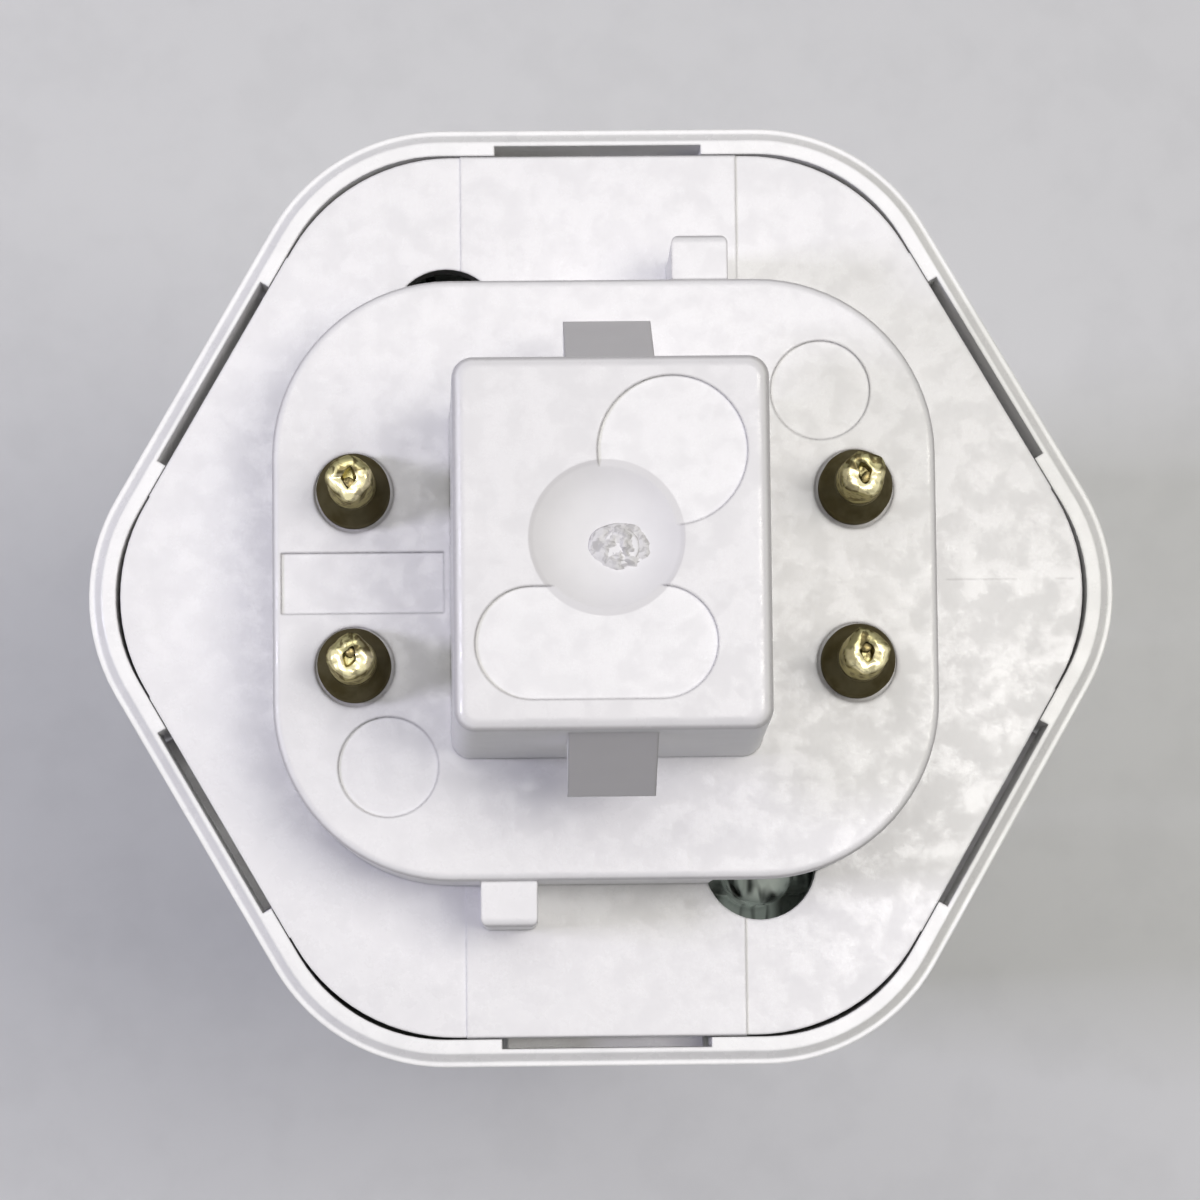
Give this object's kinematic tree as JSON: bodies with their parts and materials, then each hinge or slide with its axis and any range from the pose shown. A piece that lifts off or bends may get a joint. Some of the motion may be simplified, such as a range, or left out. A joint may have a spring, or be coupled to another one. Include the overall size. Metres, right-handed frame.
{
  "type": "compact fluorescent lamp",
  "caption": "Plug-in compact fluorescent lamp: white hexagonal collar and moulded cap with a latching post and brass contact pins, holding a ring of bent glass tubes.",
  "frame": {"origin": "on the lamp's axis, in the face of the cap that meets the lampholder, midway between the pins", "axes": "+Z out along the pins and the post, away from the glass; +X along the longer pin spacing, through two corners of the collar; +Y through two flats of the collar"},
  "size_m": [0.0488, 0.0448, 0.1259],
  "materials": {
    "cap_plastic": "moulded satin white",
    "collar_plastic": "moulded satin white",
    "coated_glass": "clear glass coated white inside, opaque",
    "cement": "cast, matt",
    "pin_brass": "drawn, lightly tarnished",
    "wire_metal": "bare nickel-plated wire"
  },
  "bodies": {
    "root": {"base_cover": "cap_plastic", "collar": "collar_plastic", "discharge_tube": "coated_glass", "basing_cement": "cement", "contact_pin_1": "pin_brass", "contact_pin_2": "pin_brass", "contact_pin_3": "pin_brass", "contact_pin_4": "pin_brass", "lead_wire_1": "wire_metal", "lead_wire_2": "wire_metal", "lead_wire_3": "wire_metal", "lead_wire_4": "wire_metal"}
  },
  "joints": []
}
